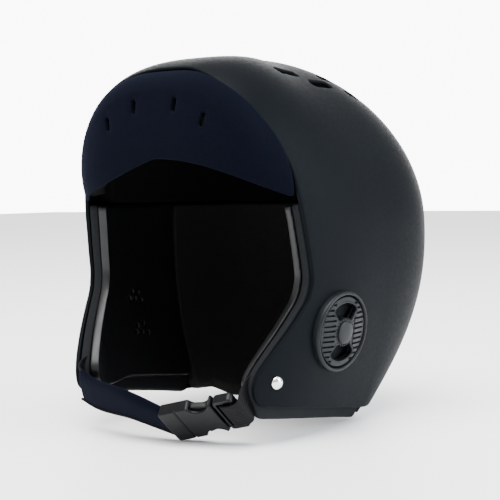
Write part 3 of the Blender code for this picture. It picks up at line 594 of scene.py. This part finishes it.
def panel_relief(p, q):
    """The fabric sinks a little towards its slots and pulls over the pad below."""
    near = brow_slot_hole(p, BROW_SLOT_LONG, BROW_SLOT_WIDE)
    seam = np.maximum(-outline_distance(front_region, p[:, 1:] + np.array([0.0005, 0.0])), 0.0)
    z = dome_height(p[:, 0], p[:, 1])
    over = np.clip((z - p[:, 2]) * 0.93 - 0.0004, 0.0, 0.0060) * ramp(p[:, 2], 0.165, 0.185)
    return over * np.exp(-(seam / 0.0100) ** 2) - 0.0004 * np.exp(-(np.minimum(near, 0) / 0.0022) ** 2)


FRONT_HALF = even(-math.pi, 0.0, 300)
BROW_LEVELS = even(0.10, 1.05, 150)
panel = skin("brow_panel_fabric", brow_surface, FRONT_HALF, BROW_LEVELS, False, keep_panel, 0.0, BROW_T, 0.0012,
             2.4, 8, relief=panel_relief)
place(panel, NEOPRENE, "helmet", "navy_neoprene", "brow_panel")

pad = skin("brow_pad_foam", brow_surface, even(-math.pi, 0.0, 140), even(0.10, 1.05, 60), False,
           keep_brow(0.0010, 0.0015), BROW_T + 0.0003, 0.0138, 0.0015, 3.0, 6)
place(pad, EVA_PAINTED_SHADE, "helmet", "eva_foam", "brow_pad")

# ---------------------------------------------------------------- foam under the shell
FACE_PART = edge_curve[(edge_curve[:, 1] > 0.022) & (edge_curve[:, 1] < LINER_TOP)]
LOW_PART = rim_curve[(rim_curve[:, 0] > -0.1040) & (rim_curve[:, 0] < SPLIT_Y - 0.008)]
PAD_FACE = edge_curve[(edge_curve[:, 1] > 0.036) & (edge_curve[:, 1] < LINER_TOP)]
EAR_LOW = spline([(-0.1146, 0.0330), (-0.1125, 0.0275), (-0.1060, 0.0215), (-0.0950, 0.0160), (-0.0800, 0.0115),
                  (-0.0600, 0.0085), (-0.0300, 0.0050), (-0.0080, 0.0022), (SPLIT_Y - 0.0050, 0.0020)], 3)
STAND = RIM_LOW - FOAM_DROP
RIGHT_LIFT, RIGHT_PAD_LIFT = 0.0062, 0.0100   # the right-hand foam and pad edges sit this much higher
RAMP_START, RAMP_END = 0.0240, 0.0312        # where the nape foam comes down to the standing plane


def liner_outline(lift):
    return np.vstack([[(-0.0845, LINER_TOP)], FACE_PART + [-0.0010, 0.0], [(-0.1060, 0.0118 + lift * 0.5)],
                      LOW_PART - [0, FOAM_DROP - lift], [(SPLIT_Y - 0.0060, STAND + 0.0006 + lift)],
                      [(SPLIT_Y - 0.0015, 0.0070 + lift * 0.3), (SPLIT_Y - 0.0015, LINER_TOP)]])


def pad_outline(lift):
    low = EAR_LOW + np.stack([0 * EAR_LOW[:, 0], lift * ramp(EAR_LOW[:, 0], -0.110, -0.060)], axis=1)
    return np.vstack([[(-0.0860, LINER_TOP)], PAD_FACE + [-0.0022, 0.0], low,
                      [(SPLIT_Y - 0.0015, 0.0070 + lift), (SPLIT_Y - 0.0015, LINER_TOP)]])


def nape_outline(lift):
    back = even(RAMP_START, RAMP_END, 9)
    return np.vstack([[(SPLIT_Y + 0.0015, LINER_TOP), (SPLIT_Y + 0.0015, 0.0070 + lift * 0.3)],
                      [(SPLIT_Y + 0.0055, STAND + 0.0008 + lift), (0.0155, STAND + lift)],
                      np.stack([back, STAND + lift * (1 - ramp(back, RAMP_START, RAMP_END))], axis=1),
                      [(0.13, STAND), (0.13, LINER_TOP)]])


EAR_HOLES = [(-0.0475, 0.0776), (-0.0408, 0.0764), (-0.0510, 0.0730), (-0.0448, 0.0724), (-0.0376, 0.0706),
             (-0.0456, 0.0528), (-0.0388, 0.0540), (-0.0480, 0.0484), (-0.0414, 0.0478), (-0.0348, 0.0466)]


def half_keep(outline, side, extra=None):
    def keep(p, q):
        g = np.maximum(outline_distance(outline, p[:, 1:]), 0.0005 - p[:, 0] * side)
        return g if extra is None else np.maximum(g, extra(p))
    return keep


def ear_cut(p):
    g = np.full(len(p), -1.0)
    for y, z in EAR_HOLES:
        g = np.maximum(g, 0.0018 - np.hypot(p[:, 1] - y, p[:, 2] - z))
    return g


SIDE_LEVELS = even(0.80, 2.08, 100)
for name, side in SIDES:
    foam_lift, pad_lift = (0.0, 0.0) if side > 0 else (RIGHT_LIFT, RIGHT_PAD_LIFT)
    side_angles = even(-1.45, 0.25, 150) if side > 0 else even(-math.pi - 0.25, -math.pi + 1.45, 150)
    liner = skin("side_liner_foam_" + name, dome_surface, side_angles, SIDE_LEVELS, False,
                 half_keep(liner_outline(foam_lift), side), LINER_OUT, LINER_IN, 0.0012, 3.2, 6)
    place(liner, EVA, "helmet", "eva_foam", "side_liner_" + name)
    ear = skin("ear_pad_skin_" + name, dome_surface, side_angles, SIDE_LEVELS, False,
               half_keep(pad_outline(pad_lift), side, ear_cut), PAD_OUT, PAD_IN, 0.0004, 2.0, 8)
    place(ear, PAD, "helmet", "pad_skin", "ear_pad_" + name)
    rear_angles = even(0.0, math.pi / 2, 110) if side > 0 else even(math.pi / 2, math.pi, 110)
    nape = skin("nape_pad_foam_" + name, dome_surface, rear_angles, even(0.80, 2.08, 90), False,
                half_keep(nape_outline(foam_lift), side), LINER_OUT, 0.0150, 0.0015, 3.2, 6)
    place(nape, RIM_FOAM, "helmet", "nape_foam", "nape_pad_" + name)

crown_region = np.vstack([[(y + 0.0150, z) for y, z in edge_curve if z > 0.1500],
                          [(-0.070, LINER_TOP + 0.0023), (0.13, LINER_TOP + 0.0023), (0.13, 0.26)]])


def keep_crown(p, q):
    return np.maximum(outline_distance(crown_region, p[:, 1:]), slot_hole(p, 0.0210, 0.0055))


crown_levels = np.concatenate([[0.014], even(0.04, 1.15, 70)])
crown = skin("crown_pad_foam", dome_surface, closed_angles(180), crown_levels,
             True, keep_crown, LINER_OUT, 0.0150, 0.0010, 3.0, 6, pole=True)
place(crown, EVA_PAINTED_SHADE, "helmet", "eva_foam", "crown_pad")

# ---------------------------------------------------------------- turned, flat and swept pieces
def outward(points, faces):
    """Faces turned so that the closed shape has a positive volume."""
    total = 0.0
    for f in faces:
        a = points[f[0]]
        for i in range(1, len(f) - 1):
            total += float(np.dot(a, np.cross(points[f[i]], points[f[i + 1]])))
    return faces if total > 0 else [tuple(f[::-1]) for f in faces]


def turned(name, profile, matrix, steps=96, smooth=40.0):
    """Turned shape from an (r, t) profile, t along the frame's z; a profile off the axis makes a ring."""
    ang = closed_angles(steps)
    verts, rows = [], []
    for r, t in profile:
        if r < 1e-7:
            rows.append([len(verts)])
            verts.append((0.0, 0.0, t))
        else:
            rows.append(list(range(len(verts), len(verts) + steps)))
            verts += [(r * math.cos(a), r * math.sin(a), t) for a in ang]
    if len(rows[0]) > 1:
        rows.append(rows[0])
    faces = []
    for a, b in zip(rows, rows[1:]):
        for i in range(steps):
            j = (i + 1) % steps
            if len(a) == 1:
                faces.append((a[0], b[i], b[j]))
            elif len(b) == 1:
                faces.append((a[j], a[i], b[0]))
            else:
                faces.append((a[j], a[i], b[i], b[j]))
    points = out_of(matrix, np.array(verts))
    return new_mesh(name, points, outward(points - points[0], faces), smooth)


def plane_surface(matrix):
    m = np.array(matrix)

    def surface(q):
        p = out_of(matrix, np.stack([q[:, 0], q[:, 1], 0 * q[:, 0]], axis=1))
        return p, np.tile(m[:3, 2], (len(q), 1))
    return surface


def plate(name, matrix, x_range, y_range, step, keep, top, bottom, lip, power=3.0, rings=8, relief=None,
          smooth=40.0):
    """Flat piece in a frame's x-y plane between heights `bottom` and `top`, cut to keep(x, y)."""
    xs = even(x_range[0], x_range[1], int((x_range[1] - x_range[0]) / step) + 2)
    ys = even(y_range[0], y_range[1], int((y_range[1] - y_range[0]) / step) + 2)
    lift = None if relief is None else (lambda p, q: relief(q[:, 0], q[:, 1]))
    return skin(name, plane_surface(matrix), xs, ys, False, lambda p, q: keep(q[:, 0], q[:, 1]), -top, -bottom,
                lip, power, rings, relief=lift, smooth=smooth)


def swept(name, stations, steps, section, smooth=50.0, close=0.0):
    """Band or tube through stations (centre, width direction); section holds (width, out) pairs."""
    path = spline([(*c, *w) for c, w in stations], steps)
    c, w = path[:, :3], path[:, 3:]
    along = np.gradient(c, axis=0)
    along /= np.linalg.norm(along, axis=1)[:, None]
    w = w - along * np.einsum("ij,ij->i", w, along)[:, None]
    w /= np.linalg.norm(w, axis=1)[:, None]
    out = np.cross(along, w)
    sec = np.array(section)
    n, k = len(c), len(sec)
    length = np.concatenate([[0], np.cumsum(np.linalg.norm(np.diff(c, axis=0), axis=1))])
    scale = np.ones(n)
    if close:
        edge = length / close
        scale = np.sqrt(1 - (1 - np.clip(edge, 0, 1)) ** 2 * 0.75)
    verts = (c[:, None] + w[:, None] * (sec[None, :, :1] * (1 - (1 - scale) * 0.15)[:, None, None])
             + out[:, None] * (sec[None, :, 1:] * scale[:, None, None])).reshape(-1, 3)
    faces = [(i * k + j, i * k + (j + 1) % k, (i + 1) * k + (j + 1) % k, (i + 1) * k + j)
             for i in range(n - 1) for j in range(k)]
    faces += [tuple(range(k))[::-1], tuple(range((n - 1) * k, n * k))]
    return new_mesh(name, verts, outward(verts - verts[0], faces), smooth)


def smooth_step(v, width):
    """0 well below zero, 1 well above, over `width`."""
    t = np.clip(v / width + 0.5, 0.0, 1.0)
    return t * t * (3 - 2 * t)


# ---------------------------------------------------------------- ear vents
WINDOW_IN, WINDOW_OUT, WINDOW_SPREAD = 0.0090, 0.0180, math.radians(41)
RIB_PITCH, RIB_GROOVE = 0.0032, 0.0009


def fan_distance(x, y):
    """Signed distance to the two rounded fan windows above and below the hub, negative inside."""
    r = np.hypot(x, y)
    away = np.abs(np.arctan2(np.abs(y), x) - math.pi / 2)
    corner = 0.0020
    a = np.abs(r - (WINDOW_IN + WINDOW_OUT) / 2) - (WINDOW_OUT - WINDOW_IN) / 2 + corner
    b = (away - WINDOW_SPREAD) * np.maximum(r, 0.004) + corner
    return np.hypot(np.maximum(a, 0), np.maximum(b, 0)) + np.minimum(np.maximum(a, b), 0) - corner


def keep_dial(x, y):
    r = np.hypot(x, y)
    return np.maximum(np.maximum(r - 0.0218, 0.0027 - r), -fan_distance(x, y))


def keep_base(x, y):
    r = np.hypot(x, y)
    return np.maximum(np.maximum(r - 0.0198, 0.0027 - r), -fan_distance(x, y))


def dial_relief(x, y):
    r = np.hypot(x, y)
    h = 0.0038 - 0.0018 * (r / 0.0219) ** 2
    fan = fan_distance(x, y)
    side = smooth_step(np.abs(x) - 0.0093, 0.0006) * smooth_step(0.0197 - np.abs(x), 0.0006)
    side = side * smooth_step(fan - 0.0012, 0.0005) * smooth_step(0.0212 - r, 0.0004)
    row = np.abs(y / RIB_PITCH + 0.5 - np.round(y / RIB_PITCH + 0.5)) * RIB_PITCH
    groove = 1 - smooth_step(row - RIB_GROOVE / 2, 0.0004)
    h = h + side * (0.0007 * (1 - groove) * (1.25 - np.abs(x) / 0.0200) - 0.0013 * groove)
    h = h + 0.0004 * smooth_step(fan - 0.0002, 0.0003) * (1 - smooth_step(fan - 0.0010, 0.0003))
    turn = np.arctan2(y, x) / math.radians(15)
    tooth = np.abs(turn - np.round(turn)) * math.radians(15) * r
    notch = (1 - smooth_step(tooth - 0.00035, 0.0002)) * smooth_step(r - 0.0074, 0.0002)
    notch = notch * smooth_step(0.0088 - r, 0.0002)
    return h - 0.0006 * notch * (fan > 0.0004)


BEZEL = [(0.0226, -0.0040), (0.0253, -0.0040), (0.0253, 0.0010), (0.0252, 0.0017), (0.0249, 0.0023),
         (0.0245, 0.0027), (0.0240, 0.0030), (0.0236, 0.0030), (0.0232, 0.0027), (0.0229, 0.0022),
         (0.0227, 0.0014), (0.0226, 0.0005)]
HUB = [(0.0, 0.0054), (0.0022, 0.00537), (0.0042, 0.00525), (0.0058, 0.0050), (0.0066, 0.0048),
       (0.0071, 0.0045), (0.0072, 0.0042), (0.0072, 0.0039), (0.0024, 0.0039), (0.0024, -0.0066), (0.0, -0.0066)]
NUT = [(0.0201, -0.0060), (0.0230, -0.0060), (0.0230, -0.0078), (0.0201, -0.0078)]
RIVET = [(0.0, 0.0024), (0.0010, 0.00236), (0.0020, 0.0021), (0.0029, 0.0017), (0.0036, 0.0012),
         (0.0040, 0.0007), (0.0041, 0.0004), (0.0040, 0.0001), (0.0023, 0.0001), (0.0023, -0.0036), (0.0, -0.0036)]
for name, side in SIDES:
    m = vent_frames[name]
    place(turned("vent_bezel_trim_" + name, BEZEL, m, 128), VENT, "helmet", "vent_plastic",
          "vent_bezel_" + name)
    place(plate("vent_base_grid_" + name, m, (-0.0202, 0.0202), (-0.0202, 0.0202), 0.0004, keep_base, -0.0003,
                -0.0020, 0.0002, 2.4, 4), VENT, "helmet", "vent_plastic", "vent_base_" + name)
    place(plate("vent_dial_face_" + name, m, (-0.0221, 0.0221), (-0.0221, 0.0221), 0.00022, keep_dial, 0.0,
                0.0008, 0.0002, 2.4, 5, relief=dial_relief, smooth=55.0), VENT, "vent_dial_" + name, "vent_plastic",
          "vent_dial_" + name)
    place(turned("vent_hub_cap_" + name, HUB, m, 64), VENT, "helmet", "vent_plastic", "vent_hub_" + name)
    place(turned("vent_nut_" + name, NUT, m, 64), VENT, "helmet", "vent_plastic", "vent_ring_" + name)
    m = local_frame(mirror(RIVET_C, side), mirror(RIVET_N, side))
    place(turned("rivet_head_" + name, RIVET, m, 48, 50.0), CHROME, "helmet", "rivet_chrome", "rivet_" + name)
    post = bpy.data.objects["strap_post_" + name]
    post.data.materials.clear()
    post.data.materials.append(CHROME)

# ---------------------------------------------------------------- buckle
BUCKLE_C = Vector((0.0386, -0.1187, 0.0134))
bu = Vector((0.9576, 0.1679, 0.2341)).normalized()
bw = Vector((0.0, -0.73, 0.68))
bw = (bw - bu * bw.dot(bu)).normalized()
BUCKLE_M = Matrix((bu, bw, bu.cross(bw))).transposed().to_4x4()
BUCKLE_M.translation = BUCKLE_C
BUCKLE_HALF = 0.0140


def on_buckle(x, y, z):
    return tuple(BUCKLE_M @ Vector((x, y, z)))


def rounded_box(x, y, x0, x1, half, radius):
    ax = np.abs(x - (x0 + x1) / 2) - (x1 - x0) / 2 + radius
    ay = np.abs(y) - half + radius
    return np.hypot(np.maximum(ax, 0), np.maximum(ay, 0)) + np.minimum(np.maximum(ax, ay), 0) - radius


def notch_distance(x, y):
    """Signed distance, about, to the oval thumb openings in the two edges."""
    e = np.hypot((x - 0.0028) / 0.0064, (np.abs(y) - 0.0140) / 0.0050)
    return (e - 1) * 0.0052


def keep_catch(x, y):
    return np.maximum(rounded_box(x, y, -0.0245, 0.0118, BUCKLE_HALF, 0.0018), -notch_distance(x, y))


def catch_relief(x, y):
    near = notch_distance(x, y)
    rim = np.exp(-((near - 0.0007) / 0.0005) ** 2)
    step = np.exp(-((x + 0.0125) / 0.00055) ** 2)
    crown = 0.0005 * (1 - (y / BUCKLE_HALF) ** 2)
    return crown + 0.0004 * rim - 0.0009 * step


def keep_ladder(x, y):
    g = rounded_box(x, y, 0.0125, 0.0258, BUCKLE_HALF, 0.0030)
    g = np.maximum(g, -rounded_box(x, y, 0.0202, 0.0236, 0.0108, 0.0008))
    return np.maximum(g, -rounded_box(x, y, 0.0146, 0.0180, 0.0108, 0.0008))


catch = plate("buckle_catch_half", BUCKLE_M, (-0.0250, 0.0123), (-0.0145, 0.0145), 0.0004, keep_catch, 0.0038,
              -0.0042, 0.0011, 4.0, 12, relief=catch_relief, smooth=50.0)
place(catch, BUCKLE, "buckle_catch", "buckle_plastic", "buckle_catch")
ladder = plate("buckle_ladder_half", BUCKLE_M, (0.0120, 0.0267), (-0.0145, 0.0145), 0.0004, keep_ladder, 0.0030,
               -0.0030, 0.0009, 3.6, 10)
place(ladder, BUCKLE, "chin_strap", "buckle_plastic", "buckle_ladder")
tongue = plate("buckle_tongue", BUCKLE_M, (-0.0042, 0.0132), (-0.0032, 0.0032), 0.0006,
               lambda x, y: rounded_box(x, y, -0.0040, 0.0130, 0.0030, 0.0010), 0.0016, -0.0016, 0.0005, 3.0, 6)
place(tongue, BUCKLE, "chin_strap", "buckle_plastic", "buckle_ladder")
PRONG = [(0.0122, 0.0104), (0.0122, 0.0080), (0.0020, 0.0080), (-0.0024, 0.0090), (-0.0024, 0.0133),
         (0.0036, 0.0118), (0.0070, 0.0109), (0.0105, 0.0104)]
for name, side in (("upper", 1.0), ("lower", -1.0)):
    shape = np.array(PRONG) * [1.0, side]
    span = (-0.0030, 0.0128), (min(side * 0.0076, side * 0.0138), max(side * 0.0076, side * 0.0138))
    arm = plate("prong_" + name, BUCKLE_M, span[0], span[1], 0.0003,
                lambda x, y, shape=shape: outline_distance(shape, np.stack([x, y], axis=1)),
                0.0019, -0.0019, 0.0005, 2.6, 6)
    place(arm, BUCKLE, "release_prong_" + name, "buckle_plastic", "release_prong_" + name)


# ---------------------------------------------------------------- webbing and chin sleeve
def tape_section(width, thick, ridges=9, depth=0.00016, count=72):
    """Rounded flat section with lengthwise ribs."""
    x = even(-width / 2, width / 2, count)
    over = np.maximum(np.abs(x) - (width / 2 - thick / 2), 0) / (thick / 2)
    h = thick / 2 * np.sqrt(np.maximum(1 - over ** 2, 0.0))
    h = h - depth * (0.5 - 0.5 * np.cos(2 * math.pi * ridges * (x / width + 0.5))) * (over <= 0)
    upper = np.stack([x, h], axis=1)
    lower = np.stack([x[::-1], -h[::-1]], axis=1)
    return np.vstack([upper, lower[1:-1]])


def oval_section(width, thick, power=2.5, count=56):
    t = closed_angles(count)
    across, out = signed_power(np.cos(t), 2 / power), signed_power(np.sin(t), 2 / power)
    return np.stack([width / 2 * across, thick / 2 * out], axis=1)


BW = tuple(bw)
LEFT_TAPE = [((TAB_X, RIVET_C.y + 0.0095, RIVET_C.z + 0.0016), (0.0, -0.17, 0.985)),
             ((TAB_X, RIVET_C.y, RIVET_C.z), (0.0, -0.17, 0.985)),
             ((0.0661, -0.1032, 0.0305), (0.0, -0.28, 0.96)),
             ((0.0648, -0.1068, 0.0272), (0.0, -0.42, 0.91)),
             (on_buckle(0.0286, 0.0, -0.0040), (-0.02, -0.62, 0.78)), (on_buckle(0.0286, 0.0, 0.0022), BW),
             (on_buckle(0.0250, 0.0, 0.0046), BW), (on_buckle(0.0195, 0.0, 0.0042), BW),
             (on_buckle(0.0168, 0.0, 0.0030), BW), (on_buckle(0.0161, 0.0, -0.0010), BW)]
RIGHT_TAPE = [((-TAB_X, RIVET_C.y + 0.0095, RIVET_C.z + 0.0016), (0.0, -0.17, 0.985)),
              ((-TAB_X, RIVET_C.y, RIVET_C.z), (0.0, -0.17, 0.985)),
              ((-TAB_X, -0.1085, 0.0310), (0.0, -0.22, 0.97)),
              ((-0.0615, -0.1138, 0.0262), (-0.05, -0.34, 0.93)),
              ((-0.0443, -0.1190, 0.0198), (0.0, -0.46, 0.88)),
              ((-0.0134, -0.1250, 0.0171), (0.0, -0.60, 0.80)),
              (on_buckle(-0.0250, 0.0, 0.0), BW)]
SLEEVE = [((-0.0625, -0.1142, 0.0244), (-0.05, -0.32, 0.94)), ((-0.0443, -0.1190, 0.0198), (0.0, -0.46, 0.88)),
          ((-0.0134, -0.1250, 0.0171), (0.0, -0.60, 0.80)), (on_buckle(-0.0215, 0.0, 0.0), BW)]
tape = tape_section(WEB_W, WEB_T)
web_left = swept("webbing_tape_left", LEFT_TAPE, 14, tape)
place(web_left, WEBBING, "chin_strap", "webbing", "webbing_left")
web_right = swept("webbing_tape_right", RIGHT_TAPE, 14, tape)
place(web_right, WEBBING, None, "webbing", "webbing_right")
sleeve = swept("chin_sleeve_fabric", SLEEVE, 20, oval_section(0.0250, 0.0070), close=0.0030)
place(sleeve, NEOPRENE, None, "navy_neoprene", "chin_sleeve")
piping = [(-0.0090 + 0.0008 * math.cos(t), 0.0031 + 0.0008 * math.sin(t)) for t in closed_angles(12)]
piped = swept("chin_sleeve_piping", SLEEVE, 20, piping)
place(piped, WEBBING, None, "webbing", "chin_sleeve")
for obj in (web_right, sleeve, piped):
    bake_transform(obj)

# ---------------------------------------------------------------- stage, light and camera
CAMERA_AT = np.array([0.52526, -0.74674, 0.15035]) + ORIGIN
CAMERA_AXES = ((0.81268, 0.58247, -0.01669), (-0.01411, 0.04831, 0.99873), (0.58254, -0.81142, 0.04747))
camera = bpy.data.objects.new("camera", bpy.data.cameras.new("camera"))
camera.data.sensor_width = 36.0
camera.data.lens = 96.27
camera.data.clip_start, camera.data.clip_end = 0.05, 20.0
camera.matrix_world = Matrix.Translation(CAMERA_AT) @ Matrix(CAMERA_AXES).transposed().to_4x4()
bpy.context.scene.collection.objects.link(camera)
bpy.context.scene.camera = camera

world = bpy.data.worlds.new("studio")
bpy.context.scene.world = world
world.use_nodes = True
sky = world.node_tree
toward = sky.nodes.new("ShaderNodeVectorMath")
toward.operation = "DOT_PRODUCT"
toward.inputs[1].default_value = (-0.5825, 0.8114, -0.0475)
sky.links.new(sky.nodes.new("ShaderNodeTexCoord").outputs["Generated"], toward.inputs[0])
fade = sky.nodes.new("ShaderNodeMapRange")
fade.interpolation_type = "SMOOTHSTEP"
for socket, value in zip(("From Min", "From Max", "To Min", "To Max"), (0.80, 0.96, 1.1, 10.0)):
    fade.inputs[socket].default_value = value
sky.links.new(toward.outputs["Value"], fade.inputs["Value"])
sky.links.new(fade.outputs["Result"], sky.nodes["Background"].inputs["Strength"])
sky.nodes["Background"].inputs["Color"].default_value = (1, 1, 1, 1)

floor = new_mesh("floor", [(-6, -6, -ORIGIN[2]), (6, -6, -ORIGIN[2]), (6, 6, -ORIGIN[2]), (-6, 6, -ORIGIN[2])],
                 [(0, 1, 2, 3)])
pale = Shader("pale_floor", (0.96, 0.96, 0.96), 0.55, Specular_IOR_Level=0.6)
floor.data.materials.append(pale.material)


def area_light(name, at, target, size, power, color=(1, 1, 1)):
    data = bpy.data.lights.new(name, "AREA")
    data.shape = "RECTANGLE"
    data.size, data.size_y = size
    data.energy = power
    data.color = color
    lamp = bpy.data.objects.new(name, data)
    lamp.location = at
    lamp.rotation_euler = (Vector(at) - Vector(target)).to_track_quat("Z", "Y").to_euler()
    bpy.context.scene.collection.objects.link(lamp)
    return lamp


area_light("right_softbox", (1.5, 0.5, 0.7), (0, 0, 0.12), (1.0, 1.4), 44, (0.82, 0.92, 1.0))
area_light("top_softbox", (0.3, -0.9, 2.6), (0, 0, 0.0), (2.4, 2.4), 230)
area_light("front_softbox", (-0.6, -1.5, 0.9), (0, 0, 0.1), (0.8, 0.8), 3)
